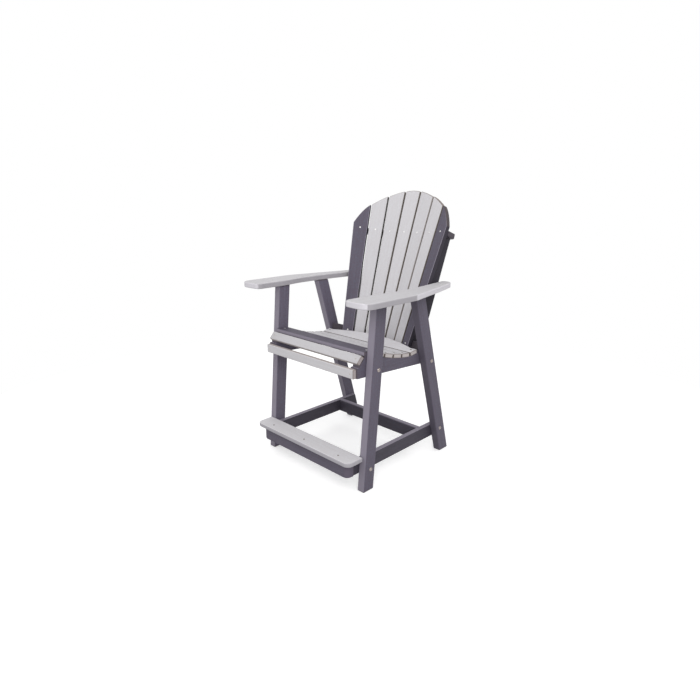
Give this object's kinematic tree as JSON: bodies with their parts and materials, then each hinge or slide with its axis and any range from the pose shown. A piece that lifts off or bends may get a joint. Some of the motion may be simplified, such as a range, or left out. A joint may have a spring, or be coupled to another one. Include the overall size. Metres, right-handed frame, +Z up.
{
  "type": "adirondack counter chair",
  "caption": "Counter-height adirondack chair in two-tone poly lumber: fan back with arched top, dished slat seat, wide arms, splayed legs and a footrest.",
  "frame": {"origin": "on the floor, under the middle of the chair's bounding box", "axes": "+Z up, -Y the way the chair faces, +X to the sitter's left"},
  "size_m": [0.8168, 0.7964, 1.2524],
  "materials": {
    "light_lumber": "light grey poly lumber with a faint grain, matte",
    "dark_lumber": "dark purple-grey poly lumber with a faint grain, matte",
    "fastener_steel": "plain stainless steel"
  },
  "bodies": {
    "root": {"arm_left": "light_lumber", "arm_right": "light_lumber", "back_post_left": "dark_lumber", "back_post_right": "dark_lumber", "back_rail_lower": "dark_lumber", "back_rail_upper": "dark_lumber", "back_slat_1": "dark_lumber", "back_slat_2": "light_lumber", "back_slat_3": "light_lumber", "back_slat_4": "light_lumber", "back_slat_5": "light_lumber", "back_slat_6": "light_lumber", "back_slat_7": "dark_lumber", "bolt_front_low_left": "fastener_steel", "bolt_front_low_right": "fastener_steel", "bolt_front_seat_left": "fastener_steel", "bolt_front_seat_right": "fastener_steel", "bolt_rear_low_left": "fastener_steel", "bolt_rear_low_right": "fastener_steel", "bolt_rear_seat_left": "fastener_steel", "bolt_rear_seat_right": "fastener_steel", "footrest_board": "light_lumber", "footrest_fascia": "dark_lumber", "front_leg_left": "dark_lumber", "front_leg_right": "dark_lumber", "insert_front_low_left": "fastener_steel", "insert_front_low_right": "fastener_steel", "insert_front_seat_left": "fastener_steel", "insert_front_seat_right": "fastener_steel", "insert_rear_low_left": "fastener_steel", "insert_rear_low_right": "fastener_steel", "insert_rear_seat_left": "fastener_steel", "insert_rear_seat_right": "fastener_steel", "lower_rail_left": "dark_lumber", "lower_rail_right": "dark_lumber", "rear_leg_left": "dark_lumber", "rear_leg_right": "dark_lumber", "rear_stretcher": "dark_lumber", "seat_apron": "light_lumber", "seat_nose": "light_lumber", "seat_rail_left": "dark_lumber", "seat_rail_right": "dark_lumber", "seat_slat_1": "dark_lumber", "seat_slat_2": "light_lumber", "seat_slat_3": "light_lumber", "seat_slat_4": "light_lumber", "seat_slat_5": "light_lumber", "seat_slat_6": "light_lumber"}
  },
  "joints": []
}
